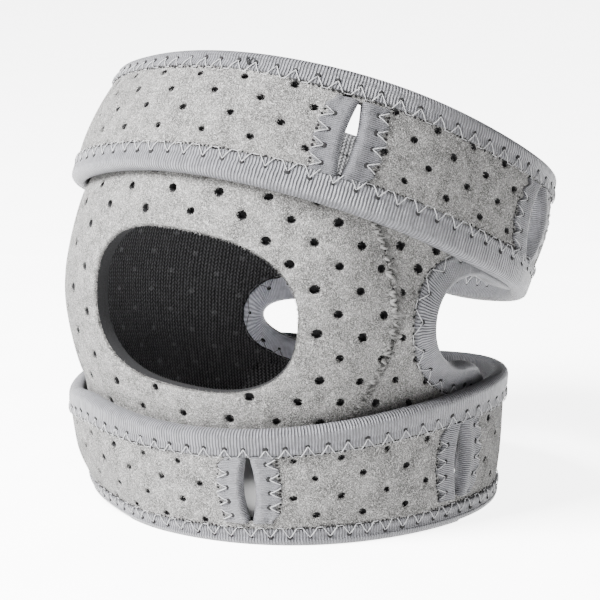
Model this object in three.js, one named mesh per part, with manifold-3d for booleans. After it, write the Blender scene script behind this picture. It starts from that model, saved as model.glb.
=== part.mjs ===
// Patella strap: a double-strap knee support in perforated neoprene, standing in its worn shape.
// Two closed straps carry a panel with a kneecap hole in front and bound notches towards the back of the knee.
// Millimetres, +Z up, the kneecap hole faces -Y, and the lower strap's hem stands on z = 0.
//
// Each piece is drawn flat as a pattern, with s along the cloth, t up across it and n out of its face,
// and is then bent to the worn shape, which a short table of rings gives.
import * as THREE from 'three';
import { mergeVertices } from 'three/addons/utils/BufferGeometryUtils.js';
import Module from 'manifold-3d';

const wasm = await Module();
wasm.setup();

// Driving dimensions
const legRadius = 65;            // mean radius of the leg where the straps go round it
const strapWidth = 38;           // finished width of each strap, binding and all
const kneeGap = 44.3;            // mean height of the panel that shows between the straps
const kneeBendDeg = 23;          // the upper strap leans back by this angle
const strapWall = 2.6;           // laminate of a strap
const panelWall = 4.5;           // laminate of the panels, thicker foam
const tapeWall = 0.9;            // knitted elastic binding tape
const clearance = 0.3;           // gap between neighbouring pieces
const seatClearance = 0.6;       // gap between the panels and the binding that they lie under
const strapTapeOutside = 8.2;    // tape that shows on the outside of a strap's edge
const strapTapeInside = 7;       // tape on the lining side of a strap's edge
const notchTapeOutside = 8.7;    // the same on the notches
const notchTapeInside = 8;
const slotTapeWidth = 8;         // tape on each side of a strap slot
const strapEndRadius = 12;       // corners of the strap ends
const strapLapDeg = 45;          // the strap ends overlap by this much of the ring
const strapEndDeg = 95;          // where the under end lies, on the far side at the back
const lapRampDeg = 26;           // the strap climbs onto its own under end along this much
const lapClearDeg = 4;           // and is up this far before it
const tabLength = 38;            // hook tab that closes a strap
const tabWidth = 18;
const tabOverhang = 13;          // part of the tab that stands past the strap's end
const tabCorner = 5;
const panelUnder = 10;           // cloth of the panels that reaches under each strap
const panelRadius = 70;          // mean radius of the panels, where they bulge between the straps
const frontBulge = 4.2;          // the panel swells past the straps by this much over the kneecap
const bulgeTowardDeg = 250;
const fullFront = 0.85;          // a low power makes the swelling full up to the straps
const fullWing = 2;              // and a high power lets the wings leave the straps flat
const tapedRamp = 24;            // length over which the panels go from one form to the other
const tapedSpare = 2;            // which is complete this far before the tape of a notch
const holeWidth = 73;            // kneecap hole, cut raw
const holeHeight = 46.6;
const holeDrop = 2.4;            // its middle lies this far under the middle of the panel
const holeSkew = 0.05;           // its long axis runs down to the right by this slope
const holePower = 2.6;           // squareness of its outline, 2 is an ellipse
const seamAt = 66.4;             // seam between the panels, round from the middle of the hole
const seamRadius = 50;           // the seam is an arc
const armSpare = 2;              // the panels end this far past the tape of their arms
const slotLength = 20.6;         // lips of the slots, between the bindings of a strap
const slotEndOpening = 0.5;      // the lips nearly meet at both ends of a slot
const rimRounding = 1;           // rounded fold of the tape over an edge
const pressedHeight = 0.5;       // the fold that the brace stands on is pressed flat up to this height

// Detail of the meshes
const ringSteps = 48;
const panelSteps = 52;
const panelRows = 9;             // one of them under each strap
const sidePanelSteps = 14;
const holeSteps = 36;
const notchSteps = 12;
const armSteps = 4;
const slotSteps = 6;
const cornerSteps = 3;
const tabSteps = 7;
const normalTurn = 0.01;         // radians round the leg and millimetres up it over which normals are taken
const normalStep = 4;
const cutterReach = 14;          // cutters stand past the cloth by this much on both faces

// Plan shape of the leg: small waves on the radius, as shares of it, with the direction of a crest
const planWaves = [
  { waves: 2, share: 0.06, crestDeg: 152 },
  { waves: 3, share: 0.035, crestDeg: 12 },
  { waves: 4, share: 0.023, crestDeg: 28 },
];

// Rings of the worn shape, upwards. Radius, shift, tilt and saddle are shares of legRadius. Tilt lifts the
// ring on one side and saddle lifts it on two opposite sides. The upper rings tilt with the bent knee, and
// the upper strap leans towards leanX and leanY.
const kneeBend = THREE.MathUtils.degToRad(kneeBendDeg);
const bendTilt = Math.sin(kneeBend);
const lowerRise = 0.953 * strapWidth;
const upperLean = bendTilt * strapWidth / legRadius;
const leanX = 0.41;
const leanY = 0.91;
const rings = {
  lowerHem: { radius: 0.932, x: 0, y: 0, rise: 0, tilt: 0, tiltDeg: 0, saddle: 0, saddleDeg: 0 },
  lowerTop: {
    radius: 0.998, x: -0.014, y: -0.019, rise: lowerRise,
    tilt: 0.036, tiltDeg: 337, saddle: 0.045, saddleDeg: 9,
  },
  upperBottom: {
    radius: 1.037, x: 0.054, y: 0.003, rise: lowerRise + kneeGap,
    tilt: 1.037 * bendTilt, tiltDeg: 253, saddle: 0.058, saddleDeg: 115,
  },
};
rings.upperHem = {
  radius: 0.971,
  x: rings.upperBottom.x + leanX * upperLean,
  y: rings.upperBottom.y + leanY * upperLean,
  rise: rings.upperBottom.rise + strapWidth * Math.cos(kneeBend),
  tilt: 0.971 * bendTilt, tiltDeg: 254, saddle: 0.061, saddleDeg: 123,
};

// Notches in the panels, at distances round from the middle of the hole. way is +1 where the notch opens
// towards larger s. depth and halfHeight are those of its rounded closed end and middle is its height. Past
// its depth the arms run out under the straps over a length, reach.
const notches = {
  side: { closedAt: 79.6, way: 1, depth: 20, halfHeight: 13.7, middle: 2, reach: 22 },
  far: { closedAt: -180, way: -1, depth: 20, halfHeight: 7, middle: -9.2, reach: 34 },
};

// Slots across the straps. opening is the gape in the middle of a slot.
const slots = [
  { name: 'upper_front_slot', strap: 'upper', atDeg: 304.8, opening: 3.2 },
  { name: 'upper_rear_slot', strap: 'upper', atDeg: 361, opening: 3.6 },
  { name: 'lower_front_slot', strap: 'lower', atDeg: 289, opening: 3 },
  { name: 'lower_rear_slot', strap: 'lower', atDeg: 348, opening: 3.4 },
];

// Colours and finishes
const finishes = {
  panel: { color: 0xb9b8b6, roughness: 0.95, metalness: 0 },
  strap: { color: 0xb2b1af, roughness: 0.95, metalness: 0 },
  binding: { color: 0x8f9096, roughness: 0.75, metalness: 0 },
  hook: { color: 0x9a9a9d, roughness: 0.6, metalness: 0 },
};

const degrees = THREE.MathUtils.degToRad;
const clamp = THREE.MathUtils.clamp;
const lerp = THREE.MathUtils.lerp;

// The worn shape
function planShare(angle) {
  let share = 1;
  for (const wave of planWaves) {
    share += wave.share * Math.cos(wave.waves * (angle - degrees(wave.crestDeg)));
  }
  return share;
}

function ringPoint(ring, angle) {
  const radius = legRadius * ring.radius * planShare(angle);
  const tilt = ring.tilt * Math.cos(angle - degrees(ring.tiltDeg));
  const saddle = ring.saddle * Math.cos(2 * (angle - degrees(ring.saddleDeg)));
  return new THREE.Vector3(
    legRadius * ring.x + radius * Math.cos(angle),
    legRadius * ring.y + radius * Math.sin(angle),
    ring.rise + legRadius * (tilt + saddle),
  );
}

function between(low, high, angle, share) {
  return ringPoint(low, angle).lerp(ringPoint(high, angle), share);
}

// Outward normal of a surface that is given by an angle round the leg and a height across the cloth
function outwardNormal(surface, angle, t) {
  const along = surface(angle + normalTurn, t).sub(surface(angle - normalTurn, t));
  const up = surface(angle, t + normalStep).sub(surface(angle, t - normalStep));
  return along.cross(up).normalize();
}

// Height of the opening between the straps
function gapHeight(angle) {
  return ringPoint(rings.lowerTop, angle).distanceTo(ringPoint(rings.upperBottom, angle));
}

// A strap is a band between two rings. Its last stretch climbs onto its own first stretch.
const strapStart = degrees(strapEndDeg);
const strapFinish = strapStart + degrees(360 + strapLapDeg);
const bindingDepth = strapWall + 2 * (clearance + tapeWall);
const tabWall = tapeWall + clearance;
const lapLift = (strapWall + bindingDepth) / 2 + tabWall + 2 * clearance;

function lapShare(angle) {
  const flat = strapStart + degrees(360 - lapClearDeg);
  return THREE.MathUtils.smootherstep(angle, flat - degrees(lapRampDeg), flat);
}

function strapBend(low, high, level) {
  const surface = (angle, t) => between(low, high, angle, 0.5 + t / strapWidth);
  return (s, t, n) => {
    const angle = s / legRadius;
    const normal = outwardNormal(surface, angle, t);
    const lift = normal.clone();
    if (level) {
      lift.setZ(0).normalize();
    }
    return surface(angle, t).addScaledVector(normal, n).addScaledVector(lift, lapLift * lapShare(angle));
  };
}

// The panels lie under the straps' inner binding and swell out between the straps. Towards the notches
// they lie deeper, because their own tape goes under the straps too.
const seatFront = bindingDepth / 2 + seatClearance;
const seatTaped = seatFront + tapeWall + clearance;

function tapedShare(s) {
  const share = (notch) => {
    const taped = notch.way * notch.closedAt - notchTapeOutside - tapedSpare;
    return THREE.MathUtils.smoothstep(notch.way * s, taped - tapedRamp, taped);
  };
  return Math.max(share(notches.side), share(notches.far));
}

function panelAngle(s) {
  return degrees(270) + s / panelRadius;
}

function panelBase(angle, t) {
  const half = gapHeight(angle) / 2;
  if (t > half) {
    return between(rings.upperBottom, rings.upperHem, angle, (t - half) / strapWidth);
  }
  if (t < -half) {
    return between(rings.lowerHem, rings.lowerTop, angle, 1 + (t + half) / strapWidth);
  }
  return between(rings.lowerTop, rings.upperBottom, angle, 0.5 + t / (2 * half));
}

function panelBend(s, t, n) {
  const angle = panelAngle(s);
  const normal = outwardNormal(panelBase, angle, t);
  const share = clamp(0.5 + t / gapHeight(angle), 0, 1);
  const front = 0.5 + 0.5 * Math.cos(angle - degrees(bulgeTowardDeg));
  const taped = tapedShare(s);
  const swell = Math.sin(Math.PI * share) ** lerp(fullFront, fullWing, taped);
  const out = (frontBulge + seatFront) * front * swell - lerp(seatFront, seatTaped, taped);
  return panelBase(angle, t).addScaledVector(normal, out + n - panelWall / 2);
}

const bends = {
  lower: strapBend(rings.lowerHem, rings.lowerTop, true),
  upper: strapBend(rings.upperBottom, rings.upperHem, false),
  panel: panelBend,
};

// Meshes from patterns
function meshFrom(positions, triangles) {
  const geometry = new THREE.BufferGeometry();
  geometry.setAttribute('position', new THREE.Float32BufferAttribute(positions.flatMap((p) => p.toArray()), 3));
  geometry.setIndex(triangles);
  return geometry;
}

// A wall of cloth on a grid: at(i, j) gives a point of the pattern, low and high are its two faces
function clothWall(columns, rows, at, low, high, bend) {
  const positions = [];
  const index = (face, i, j) => (face * (columns + 1) + i) * (rows + 1) + j;
  for (const n of [low, high]) {
    for (let i = 0; i <= columns; i += 1) {
      for (let j = 0; j <= rows; j += 1) {
        const { s, t } = at(i, j);
        positions.push(bend(s, t, n));
      }
    }
  }
  const triangles = [];
  const quad = (a, b, c, d) => triangles.push(a, b, c, a, c, d);
  for (let i = 0; i < columns; i += 1) {
    for (let j = 0; j < rows; j += 1) {
      quad(index(1, i, j), index(1, i + 1, j), index(1, i + 1, j + 1), index(1, i, j + 1));
      quad(index(0, i, j), index(0, i, j + 1), index(0, i + 1, j + 1), index(0, i + 1, j));
    }
    quad(index(0, i, 0), index(0, i + 1, 0), index(1, i + 1, 0), index(1, i, 0));
    quad(index(0, i, rows), index(1, i, rows), index(1, i + 1, rows), index(0, i + 1, rows));
  }
  for (let j = 0; j < rows; j += 1) {
    quad(index(0, 0, j), index(1, 0, j), index(1, 0, j + 1), index(0, 0, j + 1));
    quad(index(0, columns, j), index(0, columns, j + 1), index(1, columns, j + 1), index(1, columns, j));
  }
  return meshFrom(positions, triangles);
}

// A prism on a closed outline that runs anticlockwise in the pattern. It reaches well past both faces of
// the cloth, and its walls have a level near each face, so that they follow the bend there.
function prism(outline, wall, bend) {
  const count = outline.length;
  const levels = [-cutterReach, -wall, wall, cutterReach];
  const positions = levels.flatMap((n) => outline.map((p) => bend(p.x, p.y, n)));
  const top = count * (levels.length - 1);
  const triangles = [];
  for (const [a, b, c] of THREE.ShapeUtils.triangulateShape(outline, [])) {
    triangles.push(a, c, b, a + top, b + top, c + top);
  }
  for (let low = 0; low < top; low += count) {
    for (let i = 0; i < count; i += 1) {
      const next = (i + 1) % count;
      triangles.push(low + i, low + next, low + next + count, low + i, low + next + count, low + i + count);
    }
  }
  return meshFrom(positions, triangles);
}

// Unit normals of an outline, to its left
function leftNormals(outline, closed) {
  const last = outline.length - 1;
  return outline.map((point, i) => {
    const before = closed ? outline[(i + last) % (last + 1)] : outline[Math.max(i - 1, 0)];
    const after = closed ? outline[(i + 1) % (last + 1)] : outline[Math.min(i + 1, last)];
    const along = after.clone().sub(before).normalize();
    return new THREE.Vector2(-along.y, along.x);
  });
}

function offset(outline, distance, closed) {
  const normals = leftNormals(outline, closed);
  return outline.map((point, i) => point.clone().addScaledVector(normals[i], distance));
}

// Tape folded over an edge. The outline is the finished edge, and inwards holds its normals into the cloth,
// to its left. outside and inside are the widths of the tape on the two faces.
function foldedTape(outline, inwards, closed, wall, outside, inside, legSteps, bend) {
  const inner = wall / 2 + clearance;
  const outer = inner + tapeWall;
  const leg = (from, to, n) => {
    const points = [];
    for (let k = 0; k <= legSteps; k += 1) {
      points.push([from + (to - from) * k / legSteps, n]);
    }
    return points;
  };
  const section = [
    ...leg(outside, rimRounding, outer), [0, outer - rimRounding], [0, rimRounding - outer],
    ...leg(rimRounding, inside, -outer), ...leg(inside, tapeWall, -inner), ...leg(tapeWall, outside, inner),
  ];
  const count = section.length;
  const positions = [];
  outline.forEach((point, i) => {
    for (const [into, n] of section) {
      const p = point.clone().addScaledVector(inwards[i], into);
      positions.push(bend(p.x, p.y, n));
    }
  });
  const triangles = [];
  const spans = closed ? outline.length : outline.length - 1;
  for (let i = 0; i < spans; i += 1) {
    const here = i * count;
    const there = ((i + 1) % outline.length) * count;
    for (let k = 0; k < count; k += 1) {
      const next = (k + 1) % count;
      triangles.push(here + k, there + next, there + k, here + k, here + next, there + next);
    }
  }
  if (!closed) {
    const flat = section.map(([into, n]) => new THREE.Vector2(into, n));
    const end = (outline.length - 1) * count;
    for (const [a, b, c] of THREE.ShapeUtils.triangulateShape(flat, [])) {
      triangles.push(a, c, b, a + end, b + end, c + end);
    }
  }
  return meshFrom(positions, triangles);
}

// Boolean cuts
function solidOf(geometry) {
  const merged = mergeVertices(geometry, 1e-5);
  return new wasm.Manifold(new wasm.Mesh({
    numProp: 3,
    vertProperties: new Float32Array(merged.attributes.position.array),
    triVerts: new Uint32Array(merged.index.array),
  }));
}

function geometryOf(solid) {
  const { vertProperties, triVerts } = solid.getMesh();
  const geometry = new THREE.BufferGeometry();
  geometry.setAttribute('position', new THREE.BufferAttribute(new Float32Array(vertProperties), 3));
  geometry.setIndex(new THREE.BufferAttribute(new Uint32Array(triVerts), 1));
  return geometry;
}

function cut(geometry, cutters) {
  let solid = solidOf(geometry);
  for (const cutter of cutters) {
    solid = solid.subtract(solidOf(cutter));
  }
  return geometryOf(solid);
}

// Finished outline of a strap, anticlockwise, drawn in by a distance
function strapOutline(inset) {
  const start = strapStart * legRadius + inset;
  const finish = strapFinish * legRadius - inset;
  const half = strapWidth / 2 - inset;
  const corner = strapEndRadius - inset;
  const points = [];
  const arc = (s, t, fromDeg) => {
    for (let k = 1; k < cornerSteps; k += 1) {
      const turn = degrees(fromDeg + 90 * k / cornerSteps);
      points.push(new THREE.Vector2(s + corner * Math.cos(turn), t + corner * Math.sin(turn)));
    }
  };
  const run = (from, to, t) => {
    for (let i = 0; i <= ringSteps; i += 1) {
      points.push(new THREE.Vector2(from + (to - from) * i / ringSteps, t));
    }
  };
  const end = half - corner;
  run(start + corner, finish - corner, -half);
  arc(finish - corner, -end, 270);
  points.push(new THREE.Vector2(finish, -end), new THREE.Vector2(finish, end));
  arc(finish - corner, end, 0);
  run(finish - corner, start + corner, half);
  arc(start + corner, end, 90);
  points.push(new THREE.Vector2(start, end), new THREE.Vector2(start, -end));
  arc(start + corner, -end, 180);
  return points;
}

// The cloth of a strap, with its columns where the outline has its corners
function strapCloth(bend, cutters) {
  const outline = strapOutline(tapeWall + clearance);
  const upper = outline.filter((p) => p.y > 0).sort((a, b) => a.x - b.x);
  const at = (i, j) => ({ s: upper[i].x, t: upper[i].y * (2 * j - 1) });
  const cloth = clothWall(upper.length - 1, 1, at, -strapWall / 2, strapWall / 2, bend);
  return cut(cloth, cutters);
}

// One side of a slot, from its lower to its upper end. side is +1 for the side at larger s.
function slotEdge(slot, side, length) {
  const middle = degrees(slot.atDeg) * legRadius;
  const points = [];
  for (let i = 0; i <= slotSteps; i += 1) {
    const t = length * (i / slotSteps - 0.5);
    const gape = slotEndOpening + (slot.opening - slotEndOpening) * Math.cos(Math.PI * t / length);
    points.push(new THREE.Vector2(middle + side * gape / 2, t));
  }
  return points;
}

function slotCutter(slot) {
  const raw = tapeWall + clearance;
  const length = slotLength + 2 * clearance;
  const right = slotEdge(slot, 1, length).map((p) => new THREE.Vector2(p.x + raw, p.y));
  const left = slotEdge(slot, -1, length).map((p) => new THREE.Vector2(p.x - raw, p.y));
  return prism([...right, ...left.reverse()], strapWall, bends[slot.strap]);
}

// Height of a notch's finished edge at a distance x in from its closed end
function notchEdge(notch, side, x) {
  if (x < notch.depth) {
    const share = 1 - x / notch.depth;
    return notch.middle + side * notch.halfHeight * Math.sqrt(1 - share * share);
  }
  const rim = (at) => side * gapHeight(panelAngle(notch.closedAt + notch.way * at)) / 2;
  const arm = rim(notch.depth) - (notch.middle + side * notch.halfHeight);
  const gone = (x - notch.depth) / notch.reach;
  return rim(x) - arm * (1 - gone * gone);
}

// Finished outline of a notch, with the cloth on its left. Its arms are followed one step past their tape.
function notchOutline(notch) {
  const arm = (side) => {
    const points = [];
    for (let i = 1; i <= armSteps + 1; i += 1) {
      const x = notch.depth + notch.reach * i / armSteps;
      points.push(new THREE.Vector2(notch.closedAt + notch.way * x, notchEdge(notch, side, x)));
    }
    return points;
  };
  const closedEnd = [];
  for (let i = 0; i <= notchSteps; i += 1) {
    const turn = Math.PI * (i / notchSteps - 0.5);
    const x = notch.depth * (1 - Math.cos(turn));
    closedEnd.push(new THREE.Vector2(
      notch.closedAt + notch.way * x, notch.middle + notch.halfHeight * Math.sin(turn),
    ));
  }
  const upwards = [...arm(-1).reverse(), ...closedEnd, ...arm(1)];
  return notch.way > 0 ? upwards : upwards.reverse();
}

function notchCutter(notch) {
  const raw = tapeWall + clearance;
  const outline = offset(notchOutline(notch), raw, false);
  outline.reverse();
  return prism(outline, panelWall, panelBend);
}

function holeCutter() {
  const outline = [];
  const corner = (value) => Math.sign(value) * Math.abs(value) ** (2 / holePower);
  for (let i = 0; i < holeSteps; i += 1) {
    const turn = 2 * Math.PI * i / holeSteps;
    const s = holeWidth / 2 * corner(Math.cos(turn));
    const t = holeHeight / 2 * corner(Math.sin(turn)) - holeDrop - holeSkew * s;
    outline.push(new THREE.Vector2(s, t));
  }
  return prism(outline, panelWall, panelBend);
}

// The panels, from arm end to seam and from seam to arm end
function seamLine(t) {
  return seamAt - t * t / (2 * seamRadius);
}

function panelCloth(columns, startAt, finishAt, cutters) {
  const at = (i, j) => {
    const share = i / columns;
    const middle = startAt(0) + (finishAt(0) - startAt(0)) * share;
    const half = gapHeight(panelAngle(middle)) / 2;
    const rise = clamp((j - 1) / (panelRows - 2), 0, 1);
    const t = half * (2 * rise - 1) + panelUnder * (j === panelRows ? 1 : 0) - panelUnder * (j === 0 ? 1 : 0);
    return { s: startAt(t) + (finishAt(t) - startAt(t)) * share, t };
  };
  return cut(clothWall(columns, panelRows, at, -panelWall / 2, panelWall / 2, panelBend), cutters);
}

const panelEnd = (notch) => notch.closedAt + notch.way * (notch.depth + notch.reach + armSpare);

function frontPanel() {
  const start = () => panelEnd(notches.far);
  const finish = (t) => seamLine(t) - clearance / 2;
  return panelCloth(panelSteps, start, finish, [holeCutter(), notchCutter(notches.far)]);
}

function sidePanel() {
  const start = (t) => seamLine(t) + clearance / 2;
  const finish = () => panelEnd(notches.side);
  return panelCloth(sidePanelSteps, start, finish, [notchCutter(notches.side)]);
}

// Hook tab between the lapped ends, lying on the under layer
function hookTab(bend) {
  const under = strapWall / 2 + clearance;
  const finish = (strapFinish - 2 * Math.PI) * legRadius + tabOverhang;
  const start = finish - tabLength;
  const rounded = [];
  for (let k = 0; k <= cornerSteps; k += 1) {
    const turn = degrees(90 * k / cornerSteps);
    const half = tabWidth / 2 - tabCorner * (1 - Math.sin(turn));
    rounded.push({ into: tabCorner * (1 - Math.cos(turn)), half });
  }
  const steps = rounded.map(({ into, half }) => ({ s: start + into, half }));
  for (let i = 1; i < tabSteps; i += 1) {
    steps.push({ s: lerp(start + tabCorner, finish - tabCorner, i / tabSteps), half: tabWidth / 2 });
  }
  steps.push(...rounded.reverse().map(({ into, half }) => ({ s: finish - into, half })));
  const at = (i, j) => ({ s: steps[i].s, t: steps[i].half * (2 * j - 1) });
  return clothWall(steps.length - 1, 1, at, under, under + tabWall, bend);
}

// The lower strap stands on its hem, whose fold is pressed flat there
function pressedFlat(geometry) {
  const position = geometry.attributes.position;
  for (let i = 0; i < position.count; i += 1) {
    if (position.getZ(i) < pressedHeight) {
      position.setZ(i, 0);
    }
  }
  return geometry;
}

const brace = new THREE.Group();
const materials = Object.fromEntries(
  Object.entries(finishes).map(([name, finish]) => [name, new THREE.MeshStandardMaterial(finish)]),
);

function add(name, geometry, finish) {
  const flat = geometry.toNonIndexed();
  flat.computeVertexNormals();
  const mesh = new THREE.Mesh(flat, materials[finish]);
  mesh.name = name;
  brace.add(mesh);
}

function strapTape(bend) {
  const outline = strapOutline(0);
  const inwards = leftNormals(outline, true);
  return foldedTape(outline, inwards, true, strapWall, strapTapeOutside, strapTapeInside, 1, bend);
}

function notchTape(notch) {
  const followed = notchOutline(notch);
  const inwards = leftNormals(followed, false).slice(1, -1);
  const outline = followed.slice(1, -1);
  return foldedTape(outline, inwards, false, panelWall, notchTapeOutside, notchTapeInside, 2, panelBend);
}

// The lips of a slot run straight into the cloth, level with the strap
function slotTape(slot, side) {
  const outline = slotEdge(slot, side, slotLength);
  if (side > 0) {
    outline.reverse();
  }
  const inwards = outline.map(() => new THREE.Vector2(side, 0));
  return foldedTape(outline, inwards, false, strapWall, slotTapeWidth, slotTapeWidth, 1, bends[slot.strap]);
}

add('front_panel', frontPanel(), 'panel');
add('side_panel', sidePanel(), 'panel');
add('side_notch_binding', notchTape(notches.side), 'binding');
add('far_notch_binding', notchTape(notches.far), 'binding');
for (const strap of ['upper', 'lower']) {
  const cutters = slots.filter((slot) => slot.strap === strap).map(slotCutter);
  add(`${strap}_strap`, strapCloth(bends[strap], cutters), 'strap');
  add(`${strap}_hook_tab`, hookTab(bends[strap]), 'hook');
}
add('upper_strap_binding', strapTape(bends.upper), 'binding');
add('lower_strap_binding', pressedFlat(strapTape(bends.lower)), 'binding');
for (const slot of slots) {
  for (const [side, word] of [[1, 'right'], [-1, 'left']]) {
    add(`${slot.name}_${word}_tape`, slotTape(slot, side), 'binding');
  }
}

// The origin is at the middle of the footprint
const box = new THREE.Box3().setFromObject(brace);
const middle = box.getCenter(new THREE.Vector3());
brace.position.set(-middle.x, -middle.y, 0);

export default brace;
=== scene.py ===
"""Patella strap in perforated neoprene: the finish of every piece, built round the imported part.

Each piece is drawn flat as a pattern, in millimetres, with s along the cloth, t up across it and n out of
its face, and is then bent to the worn shape, which a short table of rings gives.
"""
import math

import bpy
import numpy as np
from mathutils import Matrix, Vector
from mathutils.geometry import delaunay_2d_cdt


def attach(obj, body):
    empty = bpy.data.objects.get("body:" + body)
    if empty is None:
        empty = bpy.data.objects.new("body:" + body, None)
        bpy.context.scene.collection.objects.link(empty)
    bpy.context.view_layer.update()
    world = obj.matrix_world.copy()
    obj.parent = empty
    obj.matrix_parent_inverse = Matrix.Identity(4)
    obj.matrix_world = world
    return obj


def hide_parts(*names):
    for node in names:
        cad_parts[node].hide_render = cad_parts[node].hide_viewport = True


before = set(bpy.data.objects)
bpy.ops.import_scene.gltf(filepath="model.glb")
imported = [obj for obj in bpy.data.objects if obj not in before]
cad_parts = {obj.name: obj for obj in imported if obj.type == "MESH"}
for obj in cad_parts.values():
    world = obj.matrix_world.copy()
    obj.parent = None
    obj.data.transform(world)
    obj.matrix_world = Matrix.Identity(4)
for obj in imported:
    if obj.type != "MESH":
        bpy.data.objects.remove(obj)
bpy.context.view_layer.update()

# Sizes of the part, in millimetres, with its angles in radians unless they are called degrees
MM = 0.001
LEG_RADIUS = 65.0
STRAP_WIDTH = 38.0
KNEE_GAP = 44.3
KNEE_BEND = math.radians(23)
STRAP_WALL = 2.6
PANEL_WALL = 4.5
TAPE_WALL = 0.9
CLEARANCE = 0.3
SEAT_CLEARANCE = 0.6
STRAP_TAPE_INSIDE = 7.0
NOTCH_TAPE_OUTSIDE, NOTCH_TAPE_INSIDE = 8.7, 8.0
SLOT_TAPE = 6.9
STRAP_END_RADIUS = 12.0
STRAP_START = math.radians(95)
STRAP_FINISH = math.radians(95 + 405)
LAP_RAMP, LAP_CLEAR = math.radians(26), math.radians(4)
TAB_WALL = TAPE_WALL + CLEARANCE
PANEL_UNDER = 10.0
PANEL_RADIUS = 70.0
FRONT_BULGE = 4.2
BULGE_TOWARD = math.radians(250)
FULL_FRONT, FULL_WING = 0.85, 2.0
TAPED_RAMP, TAPED_SPARE = 24.0, 2.0
HOLE_WIDTH, HOLE_HEIGHT, HOLE_DROP, HOLE_SKEW, HOLE_POWER = 73.0, 46.6, 2.4, 0.05, 2.6
SEAM_AT, SEAM_RADIUS = 66.4, 50.0
ARM_SPARE = 2.0
SLOT_LENGTH, SLOT_END_OPENING = 20.6, 0.5
RIM_SAG = 4.5
NORMAL_TURN, NORMAL_STEP = 0.01, 4.0  # steps over which a face's direction is measured
RAW = TAPE_WALL + CLEARANCE
BINDING_DEPTH = STRAP_WALL + 2 * RAW
LAP_LIFT = (STRAP_WALL + BINDING_DEPTH) / 2 + TAB_WALL + 2 * CLEARANCE
SHIFT = np.array([-5.2585, -7.7221, 0.0])  # the origin is at the middle of the footprint

# Waves in plan: how many go round the leg, their depth as a share of its radius, and a crest in degrees
PLAN_WAVES = [(2, 0.06, 152), (3, 0.035, 12), (4, 0.023, 28)]


def ring(radius, x, y, rise, tilt=0.0, tilt_deg=0, saddle=0.0, saddle_deg=0):
    """A hem or rim. All but its rise are shares of the leg's radius, and the angles are in degrees."""
    return dict(radius=radius, x=x, y=y, rise=rise, tilt=tilt, tilt_at=math.radians(tilt_deg),
                saddle=saddle, saddle_at=math.radians(saddle_deg))


LOWER_RISE = 0.953 * STRAP_WIDTH
LEAN = math.sin(KNEE_BEND)
LOWER_HEM = ring(0.932, 0, 0, 0)
LOWER_TOP = ring(0.998, -0.014, -0.019, LOWER_RISE, 0.036, 337, 0.045, 9)
UPPER_BOTTOM = ring(1.037, 0.054, 0.003, LOWER_RISE + KNEE_GAP, 1.037 * LEAN, 253, 0.058, 115)
UPPER_HEM = ring(0.971, 0.054 + 0.41 * LEAN * STRAP_WIDTH / LEG_RADIUS,
                 0.003 + 0.91 * LEAN * STRAP_WIDTH / LEG_RADIUS,
                 UPPER_BOTTOM["rise"] + STRAP_WIDTH * math.cos(KNEE_BEND), 0.971 * LEAN, 254, 0.061, 123)

NOTCHES = {
    "side": dict(closed_at=81.4, way=1, depth=18.2, half=13.7, middle=2.0, reach=22.0, low_reach=18.0),
    "far": dict(closed_at=-180.0, way=-1, depth=20.0, half=7.0, middle=-9.2, reach=34.0, low_reach=34.0),
}
SLOTS = {
    "upper_front_slot": dict(strap="upper", at=304.8, opening=3.2, step=0.3),
    "upper_rear_slot": dict(strap="upper", at=362.1, opening=7.4, step=-0.3),
    "lower_front_slot": dict(strap="lower", at=289.0, opening=3.4, step=0.3),
    "lower_rear_slot": dict(strap="lower", at=348.2, opening=4.4, step=0.0),
}


# The worn shape
def ring_point(r, angle):
    share = 1 + sum(part * np.cos(waves * (angle - math.radians(crest)))
                    for waves, part, crest in PLAN_WAVES)
    radius = LEG_RADIUS * r["radius"] * share
    tilt = r["tilt"] * np.cos(angle - r["tilt_at"])
    saddle = r["saddle"] * np.cos(2 * (angle - r["saddle_at"]))
    x = LEG_RADIUS * r["x"] + radius * np.cos(angle)
    y = LEG_RADIUS * r["y"] + radius * np.sin(angle)
    return np.stack([x, y, r["rise"] + LEG_RADIUS * (tilt + saddle)], axis=-1)


def between(low, high, angle, share):
    bottom = ring_point(low, angle)
    return bottom + (ring_point(high, angle) - bottom) * share[..., None]


def outward_normal(surface, angle, t):
    along = surface(angle + NORMAL_TURN, t) - surface(angle - NORMAL_TURN, t)
    up = surface(angle, t + NORMAL_STEP) - surface(angle, t - NORMAL_STEP)
    normal = np.cross(along, up)
    return normal / np.linalg.norm(normal, axis=-1, keepdims=True)


def gap_height(angle):
    return np.linalg.norm(ring_point(UPPER_BOTTOM, angle) - ring_point(LOWER_TOP, angle), axis=-1)


def smooth(x, low, high):
    share = np.clip((x - low) / (high - low), 0, 1)
    return share * share * (3 - 2 * share)


def smoother(x, low, high):
    share = np.clip((x - low) / (high - low), 0, 1)
    return share ** 3 * (share * (6 * share - 15) + 10)


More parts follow.
